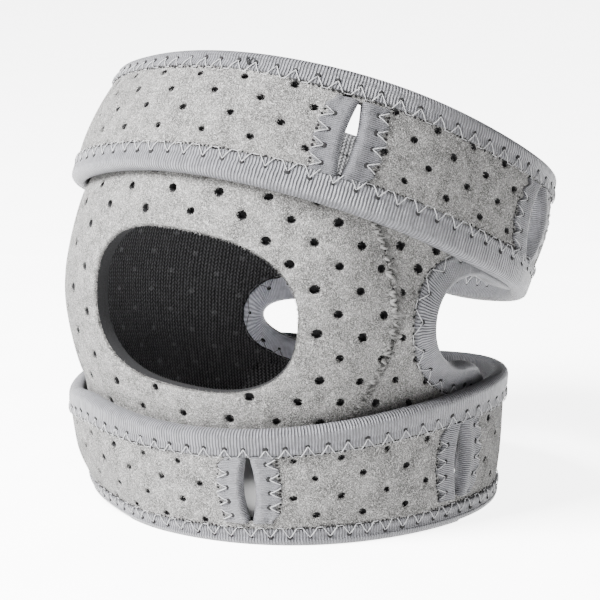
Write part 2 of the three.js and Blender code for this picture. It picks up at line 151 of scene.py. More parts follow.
def fullness(strap, angle, t):
    """How far the worn cloth of a strap stands out of its plain shape: more in the middle of its width,
    where the leg fills it, and less at the hems where the strap turns round the side of the leg."""
    degrees, x = np.degrees(angle), t / (STRAP_WIDTH / 2)
    worn = smooth(degrees, 150, 185) * (1 - smooth(degrees, 405, 440))
    left = 1 - smooth(degrees, 235, 320)
    if strap == "upper":
        out = (1.6 + 1.2 * left) * (1 - x * x)
        corner = smooth(degrees, 356, 376) * (1 - smooth(degrees, 400, 430))
        out = out - corner * 2.8 * smooth(-x, -0.3, 1.0)
    else:
        out = (0.8 + 0.9 * left) * (1 - x * x)
        corner = smooth(degrees, 185, 202) * (1 - smooth(degrees, 228, 262))
        out = out - corner * (0.6 * smooth(x, 0.45, 1.0) + 2.6 * smooth(-x, 0.1, 1.0))
    out = out * worn
    for slot in SLOTS.values():
        if slot["strap"] == strap:
            off = (angle - math.radians(slot["at"])) * LEG_RADIUS
            beside = np.exp(-(off / 6.0) ** 2) * (1 - smooth(np.abs(t), 5.0, 13.0))
            out = out - slot["step"] * np.sign(off) * beside
    return out


def sag(strap, angle, t):
    """How far the rim of the lower strap has slipped down at the left."""
    if strap == "upper":
        return 0.0
    degrees = np.degrees(angle)
    slipped = RIM_SAG * smooth(degrees, 165, 192) * (1 - smooth(degrees, 206, 234))
    return slipped * smooth(2 * t / STRAP_WIDTH, -0.2, 1.0)


def strap_bend(strap, low, high, level):
    def surface(angle, t):
        return between(low, high, angle, 0.5 + t / STRAP_WIDTH)

    def bend(s, t, n):
        s, t, n = np.broadcast_arrays(np.asarray(s, float), np.asarray(t, float), np.asarray(n, float))
        angle = s / LEG_RADIUS
        normal = outward_normal(surface, angle, t)
        lift = normal.copy()
        if level:
            lift[..., 2] = 0
            lift /= np.linalg.norm(lift, axis=-1, keepdims=True)
        flat = STRAP_START + 2 * math.pi - LAP_CLEAR
        lapped = LAP_LIFT * smoother(angle, flat - LAP_RAMP, flat)
        raised = n + fullness(strap, angle, t)
        point = surface(angle, t) + normal * raised[..., None] + lift * lapped[..., None] + SHIFT
        point[..., 2] -= sag(strap, angle, t)
        return point * MM

    return bend


def panel_base(angle, t):
    low, high = ring_point(LOWER_TOP, angle), ring_point(UPPER_BOTTOM, angle)
    under, over = ring_point(LOWER_HEM, angle), ring_point(UPPER_HEM, angle)
    half = np.linalg.norm(high - low, axis=-1)[..., None] / 2
    t = t[..., None]
    middle = low + (high - low) * (0.5 + t / (2 * half))
    above = high + (over - high) * (t - half) / STRAP_WIDTH
    below = low + (low - under) * (t + half) / STRAP_WIDTH
    return np.where(t > half, above, np.where(t < -half, below, middle))


SEAT_FRONT = BINDING_DEPTH / 2 + SEAT_CLEARANCE
SEAT_TAPED = SEAT_FRONT + TAPE_WALL + CLEARANCE


def taped_share(s):
    shares = []
    for notch in NOTCHES.values():
        taped = notch["way"] * notch["closed_at"] - NOTCH_TAPE_OUTSIDE - TAPED_SPARE
        shares.append(smooth(notch["way"] * s, taped - TAPED_RAMP, taped))
    return np.maximum(*shares)


def panel_angle(s):
    return math.radians(270) + s / PANEL_RADIUS


def panel_bend(s, t, n):
    s, t, n = np.broadcast_arrays(np.asarray(s, float), np.asarray(t, float), np.asarray(n, float))
    angle = panel_angle(s)
    normal = outward_normal(panel_base, angle, t)
    share = np.clip(0.5 + t / gap_height(angle), 0, 1)
    front = 0.5 + 0.5 * np.cos(angle - BULGE_TOWARD)
    taped = taped_share(s)
    swell = np.clip(np.sin(math.pi * share), 0, 1) ** (FULL_FRONT + (FULL_WING - FULL_FRONT) * taped)
    out = (FRONT_BULGE + SEAT_FRONT) * front * swell - (SEAT_FRONT + (SEAT_TAPED - SEAT_FRONT) * taped)
    return (panel_base(angle, t) + normal * (out + n - PANEL_WALL / 2)[..., None] + SHIFT) * MM


BENDS = {
    "lower": strap_bend("lower", LOWER_HEM, LOWER_TOP, True),
    "upper": strap_bend("upper", UPPER_BOTTOM, UPPER_HEM, False),
    "panel": panel_bend,
}


# Shader maths written as expressions, and one method for every other node
class Number:
    """A socket that carries a number. Arithmetic on it adds Math nodes."""

    def __init__(self, finish, socket):
        self.finish, self.socket = finish, socket

    def math(self, operation, *others):
        values = {i: value for i, value in enumerate((self, *others))}
        return self.finish.node("ShaderNodeMath", dict(operation=operation), values)

    def __add__(self, other):
        return self.math("ADD", other)

    def __sub__(self, other):
        return self.math("SUBTRACT", other)

    def __rsub__(self, other):
        return self.finish.node("ShaderNodeMath", dict(operation="SUBTRACT"), {0: other, 1: self})

    def __mul__(self, other):
        return self.math("MULTIPLY", other)

    def __pow__(self, other):
        return self.math("POWER", other)

    __radd__, __rmul__ = __add__, __mul__

    def sine(self):
        return self.math("SINE")

    def ramp(self, low, high):
        values = {"Value": self, "From Min": low, "From Max": high}
        return self.finish.node("ShaderNodeMapRange", dict(interpolation_type="SMOOTHSTEP"), values)


class Finish:
    """A procedural material."""

    def __init__(self, name):
        self.material = bpy.data.materials.new(name)
        self.material.use_nodes = True
        self.tree = self.material.node_tree
        self.shader = self.tree.nodes["Principled BSDF"]

    def node(self, kind, settings, values, out=0):
        node = self.tree.nodes.new(kind)
        for name, value in settings.items():
            setattr(node, name, value)
        for key, value in values.items():
            self.feed(node.inputs[key], value)
        return Number(self, node.outputs[out])

    def feed(self, socket, value):
        if isinstance(value, Number):
            self.tree.links.new(value.socket, socket)
        else:
            socket.default_value = value

    def place(self, kind="Object"):
        """Where a point lies, in millimetres, on the object or on the cloth's own pattern."""
        spot = self.node("ShaderNodeTexCoord", {}, {}, kind)
        return self.node("ShaderNodeMapping", {}, {"Vector": spot, "Scale": (1 / MM, 1 / MM, 1 / MM)})

    def parts(self, vector):
        first = self.node("ShaderNodeSeparateXYZ", {}, {"Vector": vector})
        return [Number(self, socket) for socket in first.socket.node.outputs]

    def noise(self, where, size, detail=2.0, rough=0.5, curl=0.0):
        values = {"Vector": where, "Scale": 1 / size, "Detail": detail, "Roughness": rough,
                  "Distortion": curl}
        return self.node("ShaderNodeTexNoise", {}, values)

    def blend(self, share, first, second):
        return self.node("ShaderNodeMix", dict(data_type="RGBA"), {0: share, 6: first, 7: second}, 2)

    def wear(self, color, roughness, height=None, depth=0.0003, strength=1.0, specular=0.3, sheen=0.0):
        self.feed(self.shader.inputs["Base Color"], color)
        self.feed(self.shader.inputs["Roughness"], roughness)
        self.shader.inputs["Specular IOR Level"].default_value = specular
        self.shader.inputs["Sheen Weight"].default_value = sheen
        self.shader.inputs["Sheen Roughness"].default_value = 0.6
        if height is not None:
            relief = {"Height": height, "Distance": depth, "Strength": strength}
            self.feed(self.shader.inputs["Normal"], self.node("ShaderNodeBump", {}, relief))
        return self.material


def velour(name, dark, light):
    """Short brushed pile: a coarse heather of light and dark tufts over soft, larger clouds."""
    finish = Finish(name)
    where = finish.place()
    tufts = finish.noise(where, 0.7, 2.0, 0.7, 1.8)
    grains = finish.noise(where, 0.36, 1.0)
    clouds = finish.noise(where, 5.0, 2.0)
    tone = tufts.ramp(0.47, 0.69) * 0.54 + grains.ramp(0.42, 0.7) * 0.34 + clouds.ramp(0.3, 0.7) * 0.12
    color = finish.blend(tone, (*dark, 1), (*light, 1))
    height = tufts * 0.65 + grains * 0.35
    return finish.wear(color, 0.95, height, 0.0014, 1.0, specular=0.1)


LOOP_PITCH, RIB_PITCH = 1.2, 1.25


def knit_lining():
    """Black knit: fine upright ribs, each a chain of small slanting loops."""
    finish = Finish("black knit lining")
    s, t, _ = finish.parts(finish.place(kind="UV"))
    loop_turn, rib_turn = 2 * math.pi / LOOP_PITCH, 2 * math.pi / RIB_PITCH
    chain = (t * loop_turn).sine() * 0.8
    ribs = (s * rib_turn + chain).sine() * 0.5 + 0.5
    loops = (t * loop_turn + (s * math.pi).sine() * 1.5).sine() * 0.5 + 0.5
    lint = finish.noise(finish.place(), 1.4, 3.0).ramp(0.45, 0.75)
    yarn = ribs * 0.4 + ribs * loops * 0.6
    across, up = (s * (2 * math.pi / 18.0) + 1.0).sine(), (t * (2 * math.pi / 12.6) + 0.6).sine()
    dimples = (across * up).ramp(0.9, 0.96)
    tone = yarn * 0.62 + lint * 0.13 + dimples * 0.25
    color = finish.blend(tone, (0.0022, 0.0022, 0.0026, 1), (0.135, 0.135, 0.139, 1))
    return finish.wear(color, 0.85, ribs * 0.7 + loops * 0.3, 0.0004, 0.8, specular=0.2)


def foam():
    """Cut edge of black foam rubber, with its small cells."""
    finish = Finish("black foam")
    cells = finish.noise(finish.place(), 0.35, 2.0)
    color = finish.blend(cells.ramp(0.3, 0.7), (0.0012, 0.0012, 0.0013, 1), (0.0045, 0.0045, 0.005, 1))
    return finish.wear(color, 0.8, cells, 0.0002, 0.8, specular=0.15)


def elastic_tape(name, pitch, light, dark):
    """Ribbed elastic tape: cords run across it, close together, and shine a little. The grooves between the
    cords, and a band along the tape's edge, are painted darker as painted shade.
    """
    finish = Finish(name)
    along, across, _ = finish.parts(finish.place(kind="UV"))
    wander = finish.noise(finish.place(), 2.6, 1.0) * 2.6
    # The cords' wave also sets the colour: each cord is lighter and the groove between cords darker, painted
    # shade in the grooves besides their bump.
    cord = (along * (2 * math.pi / pitch) + wander).sine() * 0.5 + 0.5
    weave = (across * (2 * math.pi / 0.42)).sine() * 0.5 + 0.5
    patches = finish.noise(finish.place(), 1.8, 2.0).ramp(0.35, 0.65)
    tone = cord * 0.56 + cord * patches * 0.3 + weave * 0.06 + patches * 0.08
    # Painted shade: a band along the tape's edge, where it meets the cloth at the stitches, is darkened.
    painted_edge_shade = across.ramp(0.5, 2.0) * 0.6 + 0.4
    color = finish.blend(tone * painted_edge_shade, (dark, dark, 1.14 * dark, 1), (light, light, 1.12 * light, 1))
    return finish.wear(color, 0.5, cord * 0.85 + weave * 0.15, 0.0005, 0.9, specular=0.3, sheen=0.05)


def plain(name, color, roughness):
    """Yarn, and small dark marks that are painted shade, with a little unevenness."""
    finish = Finish(name)
    grain = finish.noise(finish.place(), 0.4, 2.0)
    dark = tuple(0.65 * part for part in color)
    shade = finish.blend(grain.ramp(0.3, 0.7), (*dark, 1), (*color, 1))
    return finish.wear(shade, roughness, grain, 0.0001, 0.5, specular=0.2)


def hook_tape():
    """Woven tape set with small stiff hooks in rows."""
    finish = Finish("hook tape")
    x, y, z = finish.parts(finish.place())
    rows = (z * (2 * math.pi / 1.4)).sine() * 0.5 + 0.5
    hooks = finish.node("ShaderNodeTexVoronoi", {}, {"Vector": finish.place(), "Scale": 0.9})
    tone = rows * 0.4 + hooks.ramp(0.0, 0.7) * 0.6
    color = finish.blend(tone, (0.015, 0.015, 0.016, 1), (0.055, 0.055, 0.058, 1))
    return finish.wear(color, 0.5, tone, 0.0005, 0.8)


PILE = velour("heathered velour", (0.028, 0.0275, 0.0268), (0.265, 0.260, 0.253))
LINING = knit_lining()
FOAM = foam()
TAPE = elastic_tape("ribbed elastic tape", 0.88, 0.074, 0.0105)
LIP_TAPE = elastic_tape("fine ribbed tape", 0.56, 0.076, 0.0125)
# A copy of the ribbed tape about ten times lighter: painted light, worn by the inner leg of the far notch's
# tape.
PAINTED_LIGHT_TAPE = elastic_tape("ribbed tape with painted light", 0.5, 0.75, 0.28)
THREAD = plain("light thread", (0.17, 0.17, 0.174), 0.6)
FLUFF = plain("seam yarn", (0.115, 0.113, 0.11), 0.9)
# Near-black: the colour of a dark thread, and painted shade for the needle pits and the marks of pulled
# stitches.
DARK_THREAD_AND_PIT_SHADE = plain("needle holes", (0.0018, 0.0018, 0.002), 0.9)
HOOKS = hook_tape()


# Meshes
def make_piece(name, points, faces, materials, indices=None, uv=None, sharp=50):
    mesh = bpy.data.meshes.new(name)
    mesh.from_pydata(np.asarray(points).tolist(), [], faces)
    for material in materials:
        mesh.materials.append(material)
    if indices is not None:
        mesh.polygons.foreach_set("material_index", np.asarray(indices, dtype=np.int32))
    if uv is not None:
        layer = mesh.uv_layers.new(name="pattern")
        layer.data.foreach_set("uv", np.asarray(uv, dtype=np.float32).ravel())
    mesh.shade_smooth()
    mesh.set_sharp_from_angle(angle=math.radians(sharp))
    mesh.update()
    piece = bpy.data.objects.new(name, mesh)
    bpy.context.scene.collection.objects.link(piece)
    return piece


def inside(points, loop):
    """Which points lie inside a closed loop."""
    x, y = points[:, 0, None], points[:, 1, None]
    x0, y0 = loop.T
    x1, y1 = np.roll(loop, -1, axis=0).T
    rise = np.where(y1 == y0, 1e-12, y1 - y0)
    crossing = ((y0 > y) != (y1 > y)) & (x < (x1 - x0) * (y - y0) / rise + x0)
    return crossing.sum(axis=1) % 2 == 1


def distance_to(points, line, closed):
    """Distance of points from a line of straight pieces."""
    starts = line if closed else line[:-1]
    ends = np.roll(line, -1, axis=0) if closed else line[1:]
    best = np.full(len(points), np.inf)
    for a, b in zip(starts, ends):
        along = b - a
        share = np.clip(((points - a) @ along) / max(along @ along, 1e-12), 0, 1)
        best = np.minimum(best, np.linalg.norm(points - a - share[:, None] * along, axis=1))
    return best


def nearest(points, spots):
    """Distance of points from the nearest of some spots, and which spot that is."""
    best, which = np.full(len(points), np.inf), np.zeros(len(points), int)
    for first in range(0, len(spots), 200):
        away = np.linalg.norm(points[:, None] - spots[None, first:first + 200], axis=2)
        pick = away.argmin(axis=1)
        low = away[np.arange(len(points)), pick]
        which = np.where(low < best, pick + first, which)
        best = np.minimum(best, low)
    return best, which


def spaced(line, step, closed):
    """A line again, with points an even step apart."""
    line = np.vstack([line, line[:1]]) if closed else np.asarray(line, float)
    at = np.concatenate([[0], np.cumsum(np.linalg.norm(np.diff(line, axis=0), axis=1))])
    count = max(2, round(at[-1] / step))
    where = np.linspace(0, at[-1], count + 1)[: count if closed else count + 1]
    return np.stack([np.interp(where, at, line[:, 0]), np.interp(where, at, line[:, 1])], axis=-1)


RIM_POINTS = 10
TURNS = np.linspace(0, 2 * math.pi, RIM_POINTS + 1)[:-1]
CIRCLE = np.stack([np.cos(TURNS), np.sin(TURNS)], axis=-1)
EDGE_ROUNDING = 0.9   # how far in from a raw edge the pile rolls over
HOLE_ROUNDING = 0.6
ROLL_LINES = (0.3, 0.8)


def punched(spots, radius, seed):
    """Perforations as punched: each a little off its place and size, and drawn wide by the stretch."""
    draw = np.random.default_rng(seed)
    spots = spots + draw.uniform(-0.34, 0.34, spots.shape)
    size = radius * draw.uniform(0.87, 1.12, (len(spots), 1))
    oval = draw.uniform(0.06, 0.19, (len(spots), 1))
    turned = draw.uniform(-0.45, 0.45, (len(spots), 1))
    return spots, size * (1 + oval * np.cos(2 * (TURNS - turned)))


def cloth(name, outline, gaps, raw_edges, holes, rims, bend, wall, well, grid=2.3):
    """Laminate in its pattern: pile outside, foam edges and perforations, lining inside.

    gaps are loops cut out of the outline, and raw_edges are the lines along which the pile rolls over.
    rims gives the radii round each of the holes.
    """
    points, edges = [], []

    def add_line(line, closed):
        first = sum(len(p) for p in points)
        points.append(line)
        count = len(line)
        edges.extend((first + i, first + (i + 1) % count) for i in range(count if closed else count - 1))

    add_line(outline, True)
    for gap in gaps:
        add_line(gap, True)
    rim_start = sum(len(p) for p in points)
    for hole, rim in zip(holes, rims):
        add_line(hole + CIRCLE * rim[:, None], True)
    for hole, rim in zip(holes, rims):
        points.append(hole + CIRCLE * (rim[:, None] + 0.55))
    cloth_lines = np.vstack([outline, *gaps])
    low, high = outline.min(axis=0), outline.max(axis=0)
    for depth in ROLL_LINES:
        for line, closed, side in raw_edges:
            rolled = line + left_normals(line, closed) * depth * side
            rolled = rolled if closed else rolled[1:-1]
            points.append(rolled[nearest(rolled, holes)[0] > rims.max() + 0.15])
    rows = []
    for j, t in enumerate(np.arange(low[1], high[1], grid * 0.87)):
        along = np.arange(low[0] + (j % 2) * grid / 2, high[0], grid)
        rows.append(np.stack([along, np.full(len(along), t)], axis=-1))
    net = np.vstack(rows)
    net = net[nearest(net, cloth_lines)[0] > 1.2]
    net = net[nearest(net, holes)[0] > rims.max() + 1.2]
    points.append(net)
    drawn = np.vstack(points)
    verts, _, faces, origins, _, _ = delaunay_2d_cdt([Vector(p) for p in drawn.tolist()], edges, [], 0, 1e-5)
    flat = np.array([tuple(v) for v in verts])
    new_index = {}
    for new, olds in enumerate(origins):
        for old in olds:
            new_index[old] = new
    triangles = np.array(faces)
    corners = flat[triangles]
    area = np.cross(corners[:, 1] - corners[:, 0], corners[:, 2] - corners[:, 0])
    triangles = triangles[np.abs(area) > 1e-7]
    area = area[np.abs(area) > 1e-7]
    triangles[area < 0] = triangles[area < 0][:, ::-1]
    middles = flat[triangles].mean(axis=1)
    kept = inside(middles, outline)
    for gap in gaps:
        kept &= ~inside(middles, gap)
    triangles, middles, area = triangles[kept], middles[kept], np.abs(area[kept])
    sizes = rims.mean(axis=1)
    away, which = nearest(middles, holes)
    open_well = away < sizes[which] * 0.965

    # Height of the pile and of the lining
    drop = np.zeros(len(flat))
    for line, closed, _ in raw_edges:
        near = np.clip(1 - distance_to(flat, line, closed) / EDGE_ROUNDING, 0, 1)
        drop = np.maximum(drop, EDGE_ROUNDING * (1 - np.sqrt(np.maximum(1 - near * near, 0))))
    away, which = nearest(flat, holes)
    to_rim = away - sizes[which]
    drop = np.maximum(drop, 0.45 * np.clip((HOLE_ROUNDING - to_rim) / HOLE_ROUNDING, 0, 1) ** 2)
    s, t = flat.T
    ripple = 0.14 * (np.sin(s / 7.1 + 1.3 * np.sin(t / 9)) + np.sin(t / 4.7 + s / 11.3 + 2) * 0.6)
    outer = bend(s, t, wall / 2 - drop + ripple)
    inner = bend(s, t, -wall / 2 + 0.35 * np.clip((0.3 - to_rim) / 0.6, 0, 1))
    count = len(flat)
    face_list = triangles[~open_well].tolist()
    marks = [0] * len(face_list)
    lining = (triangles[:, ::-1] + count).tolist()
    face_list += lining
    marks += [2] * len(lining)
    used = {}
    for a, b, c in triangles.tolist():
        for edge in ((a, b), (b, c), (c, a)):
            used[edge] = True
    walls = [(a, a + count, b + count, b) for a, b in used if (b, a) not in used]
    face_list += walls
    marks += [1] * len(walls)

    # Wells of the perforations
    extra_s, extra_t, extra_n = [], [], []
    total = 2 * count
    for k, (hole, rim) in enumerate(zip(holes, rims)):
        loop = [new_index[rim_start + RIM_POINTS * k + i] for i in range(RIM_POINTS)]
        lower = [total + i for i in range(RIM_POINTS)]
        bottom = total + RIM_POINTS
        total += RIM_POINTS + 1
        floor = hole + CIRCLE * rim[:, None] * 0.82
        extra_s += [*floor[:, 0], hole[0]]
        extra_t += [*floor[:, 1], hole[1]]
        extra_n += [wall / 2 - well] * RIM_POINTS + [wall / 2 - well - 0.1]
        for i in range(RIM_POINTS):
            j = (i + 1) % RIM_POINTS
            face_list.append((loop[i], loop[j], lower[j], lower[i]))
            face_list.append((lower[i], lower[j], bottom))
            marks += [1, 1]
    all_points = [outer, inner, bend(extra_s, extra_t, extra_n)]
    pattern = np.vstack([flat, flat, np.stack([extra_s, extra_t], axis=-1)]) * MM
    corners = [i for face in face_list for i in face]
    piece = make_piece(name, np.vstack(all_points), face_list, [PILE, FOAM, LINING], marks, pattern[corners])
    length, width = (high - low) * MM
    piece["cut"] = [round(float(width), 4), round(float(length), 4), round(float(area.sum()) / 2 * MM * MM, 6)]
    return piece


def left_normals(line, closed):
    """Unit directions to the left of a line, at its points."""
    if closed:
        along = np.roll(line, -1, axis=0) - np.roll(line, 1, axis=0)
    else:
        along = np.gradient(line, axis=0)
    along = along / np.linalg.norm(along, axis=1, keepdims=True)
    return np.stack([-along[:, 1], along[:, 0]], axis=-1)


class Edge:
    """A finished edge in the pattern, with the cloth on its left. Distances u run along it."""

    def __init__(self, line, closed, inward=None):
        line = np.asarray(line, float)
        self.line = np.vstack([line, line[:1]]) if closed else line
        self.closed, self.fixed = closed, inward
        self.at = np.concatenate([[0], np.cumsum(np.linalg.norm(np.diff(self.line, axis=0), axis=1))])
        self.length = self.at[-1]

    def point(self, u):
        u = np.mod(u, self.length) if self.closed else np.clip(u, 0, self.length)
        return np.stack([np.interp(u, self.at, self.line[:, k]) for k in (0, 1)], axis=-1)

    def inward(self, u, reach=2.0):
        u = np.asarray(u, float)
        if self.fixed is not None:
            return np.broadcast_to(np.array(self.fixed, float), (*u.shape, 2))
        along = self.point(u + reach) - self.point(u - reach)
        along = along / np.linalg.norm(along, axis=-1, keepdims=True)
        return np.stack([-along[..., 1], along[..., 0]], axis=-1)

    def spot(self, u, into):
        return self.point(u) + self.inward(u) * np.asarray(into, float)[..., None]


TAPE_RISE = 1.12   # top of a tape over the face of the cloth, at its fold
STITCH_IN = 2.4    # needle holes lie this far from the tape's edge
FOLD = 1.8         # how far in from the finished edge the fold's turn reaches
SECTION_WIDTH = 8.0
LEG_ROWS = 7       # points in one leg of the section
INNER_FROM = 12    # first point of the section that wears the inner material


def tape_section(wall, outside, inside_width):
    """Section of a folded tape: distances in from the finished edge, and heights."""
    face = wall / 2
    top = face + TAPE_RISE

    def leg(width):
        return [(width, face - 0.25), (width + 0.02, face + 0.35), (width - 0.35, face + 0.72),
                (width - 1.2, face + 0.72), (width - STITCH_IN, face + 0.6),
                (width - STITCH_IN - 1.0, face + 0.98), (FOLD + 0.4, top)]

    turns = np.radians(np.linspace(90, -90, 9))
    fold = [(FOLD * (1 - math.cos(a)), top * math.sin(a)) for a in turns]
    back = [(into, -n) for into, n in reversed(leg(inside_width))]
    return np.array(leg(outside) + fold + back)


def width_at(width, points):
    """Width of a tape at points of its edge: a number, or a function of the points."""
    return width(points) if callable(width) else np.full(points.shape[:-1], float(width))


def folded_tape(name, edge, wall, outside, inside_width, bend, pitch, scallop, material, step=1.3,
                floor=False, inner=None, inner_low=-99.0):
    """A tape folded over an edge. Its inner leg may wear another material, above some height."""
    section = tape_section(wall, SECTION_WIDTH, inside_width)
    rows = len(section)
    count = round(edge.length / step)
    u = np.linspace(0, edge.length, count + 1)
    if edge.closed:
        u = u[:-1]
    phase = np.mod(u / pitch, 1.0)
    puckers = np.exp(-((phase - 0.5) / 0.16) ** 2)
    into = np.repeat(section[None, :, 0], len(u), axis=0)
    high = np.repeat(section[None, :, 1], len(u), axis=0)
    into[:, :LEG_ROWS - 1] += (width_at(outside, edge.point(u)) - SECTION_WIDTH)[:, None]
    into[:, 5] = np.maximum(into[:, 5], FOLD + 0.5)
    for first, last in ((0, 4), (rows - 4, rows)):
        into[:, first:last] += (scallop * (0.5 - np.abs(phase - 0.5) * 2))[:, None]
    high[:, 4] -= 0.36 * puckers
    high[:, 3] -= 0.12 * puckers
    high[:, 5:7] -= 0.16 * puckers[:, None]
    high[:, rows - 5] += 0.22 * puckers
    spots = edge.spot(np.repeat(u[:, None], rows, axis=1), into)
    points = bend(spots[..., 0], spots[..., 1], high)
    if floor:
        points[..., 2] = np.where(points[..., 2] < 0.0004, 0.0, points[..., 2])
    girth = np.concatenate([[0], np.cumsum(np.linalg.norm(np.diff(section, axis=0), axis=1))])
    faces, uv, marks = [], [], []
    spans = len(u) if edge.closed else len(u) - 1
    for i in range(spans):
        here, there = i * rows, ((i + 1) % len(u)) * rows
        u0, u1 = u[i] * MM, (u[i] + edge.length / count) * MM
        for k in range(rows):
            after = (k + 1) % rows
            v0, v1 = girth[k] * MM, (girth[after] if after else girth[k] + 8) * MM
            faces.append((here + k, here + after, there + after, there + k))
            marks.append(int(inner is not None and k >= INNER_FROM and edge.point(u[i])[1] > inner_low))
            uv += [(u0, v0), (u0, v1), (u1, v1), (u1, v0)]
    if not edge.closed:
        last = (len(u) - 1) * rows
        faces.append(tuple(range(rows))[::-1])
        faces.append(tuple(last + k for k in range(rows)))
        uv += [(0, 0)] * (2 * rows)
        marks += [0, 0]
    return make_piece(name, points.reshape(-1, 3), faces, [material, inner or material], marks, uv, sharp=60)


# Geometry Nodes: threads, needle holes and fibres
class Growth:
    """A Geometry Nodes tree with named inputs, which grows a repeated thing on a guide mesh."""

    def __init__(self, name, inputs):
        self.group = bpy.data.node_groups.new(name, "GeometryNodeTree")
        face = self.group.interface
        face.new_socket("Geometry", in_out="INPUT", socket_type="NodeSocketGeometry")
        self.names = {}
        for label, (kind, value) in {**inputs, "Material": ("NodeSocketMaterial", None)}.items():
            socket = face.new_socket(label, in_out="INPUT", socket_type=kind)
            if value is not None:
                socket.default_value = value
            self.names[label] = socket.identifier
        face.new_socket("Geometry", in_out="OUTPUT", socket_type="NodeSocketGeometry")
        self.start = self.group.nodes.new("NodeGroupInput")
        self.end = self.group.nodes.new("NodeGroupOutput")

    def given(self, label):
        return self.start.outputs[label]

    def node(self, kind, settings, values, out=0):
        node = self.group.nodes.new(kind)
        for name, value in settings.items():
            setattr(node, name, value)
        for key, value in values.items():
            if isinstance(value, bpy.types.NodeSocket):
                self.group.links.new(value, node.inputs[key])
            else:
                node.inputs[key].default_value = value
        return node.outputs[out]

    def close(self, geometry):
        real = self.node("GeometryNodeRealizeInstances", {}, {"Geometry": geometry})
        painted = self.node("GeometryNodeSetMaterial", {},
                            {"Geometry": real, "Material": self.given("Material")})
        self.group.links.new(painted, self.end.inputs["Geometry"])

    def grow(self, name, points, edges, out, material, **values):
        mesh = bpy.data.meshes.new(name)
        mesh.from_pydata(np.asarray(points).tolist(), edges, [])
        if out is not None:
            layer = mesh.attributes.new("out", "FLOAT_VECTOR", "POINT")
            layer.data.foreach_set("vector", np.asarray(out, dtype=np.float32).ravel())
        guide = bpy.data.objects.new(name + "_guide", mesh)
        bpy.context.scene.collection.objects.link(guide)
        modifier = guide.modifiers.new("growth", "NODES")
        modifier.node_group = self.group
        modifier[self.names["Material"]] = material
        for label, value in values.items():
            modifier[self.names[label.replace("_", " ").capitalize()]] = value
        evaluated = guide.evaluated_get(bpy.context.evaluated_depsgraph_get())
        grown = bpy.data.meshes.new_from_object(evaluated)
        grown.name = name
        guide.modifiers.remove(modifier)
        bpy.data.objects.remove(guide)
        bpy.data.meshes.remove(mesh)
        piece = bpy.data.objects.new(name, grown)
        bpy.context.scene.collection.objects.link(piece)
        return piece


def thread_growth():
    """A round yarn along the guide's lines."""
    growth = Growth("sewn thread", {"Thread radius": ("NodeSocketFloat", 0.00015)})
    curve = growth.node("GeometryNodeMeshToCurve", {}, {"Mesh": growth.given("Geometry")})
    ring_line = growth.node("GeometryNodeCurvePrimitiveCircle", {},
                            {"Resolution": 5, "Radius": growth.given("Thread radius")})
    tube = growth.node("GeometryNodeCurveToMesh", {},
                       {"Curve": curve, "Profile Curve": ring_line, "Fill Caps": True})
    soft = growth.node("GeometryNodeSetShadeSmooth", {}, {"Geometry": tube, "Shade Smooth": True})
    growth.close(soft)
    return growth


def mark_growth():
    """A small flattened pit at each point of the guide, in the dark material given to it, which is painted
    shade.
    """
    growth = Growth("needle pits", {"Pit radius": ("NodeSocketFloat", 0.0004), "Seed": ("NodeSocketInt", 5)})
    ball = growth.node("GeometryNodeMeshUVSphere", {},
                       {"Segments": 7, "Rings": 4, "Radius": growth.given("Pit radius")}, "Mesh")
    pit = growth.node("GeometryNodeTransform", {}, {"Geometry": ball, "Scale": (1.0, 1.0, 0.42)})
    out = growth.node("GeometryNodeInputNamedAttribute", dict(data_type="FLOAT_VECTOR"), {"Name": "out"})
    turn = growth.node("FunctionNodeAlignRotationToVector", dict(axis="Z"), {"Vector": out})
    size = growth.node("FunctionNodeRandomValue", dict(data_type="FLOAT"),
                       {2: 0.7, 3: 1.25, "Seed": growth.given("Seed")}, 1)
    placed = growth.node("GeometryNodeInstanceOnPoints", {}, {
        "Points": growth.given("Geometry"), "Instance": pit, "Rotation": turn, "Scale": size})
    growth.close(placed)
    return growth


def fibre_growth():
    """Short stiff fibres of the pile, each leaning its own way from its point's direction."""
    growth = Growth("pile fibres", {
        "Fibre length": ("NodeSocketFloat", 0.0008), "Fibre radius": ("NodeSocketFloat", 0.00007),
        "Lean": ("NodeSocketFloat", 0.7), "Seed": ("NodeSocketInt", 11)})
    fibre = growth.node("GeometryNodeMeshCone", {}, {
        "Vertices": 3, "Radius Top": 0.00002, "Radius Bottom": growth.given("Fibre radius"),
        "Depth": growth.given("Fibre length")}, "Mesh")
    out = growth.node("GeometryNodeInputNamedAttribute", dict(data_type="FLOAT_VECTOR"), {"Name": "out"})
    turn = growth.node("FunctionNodeAlignRotationToVector", dict(axis="Z"), {"Vector": out})
    lean = growth.node("ShaderNodeCombineXYZ", {}, {i: growth.given("Lean") for i in range(3)})
    back = growth.node("ShaderNodeVectorMath", dict(operation="SCALE"), {0: lean, "Scale": -1.0})
    sway = growth.node("FunctionNodeRandomValue", dict(data_type="FLOAT_VECTOR"),
                       {0: back, 1: lean, "Seed": growth.given("Seed")})
    leaning = growth.node("FunctionNodeRotateRotation", {}, {"Rotation": turn, "Rotate By": sway})
    size = growth.node("FunctionNodeRandomValue", dict(data_type="FLOAT"), {2: 0.5, 3: 1.2}, 1)
    placed = growth.node("GeometryNodeInstanceOnPoints", {}, {
        "Points": growth.given("Geometry"), "Instance": fibre, "Rotation": leaning, "Scale": size})
    growth.close(placed)
    return growth


def face_normal(bend, s, t, n, side=1):
    """Unit direction out of a face of the cloth, at points of the pattern."""
    direction = bend(s, t, np.asarray(n) + 0.5 * side) - bend(s, t, n)
    return direction / np.linalg.norm(direction, axis=-1, keepdims=True)


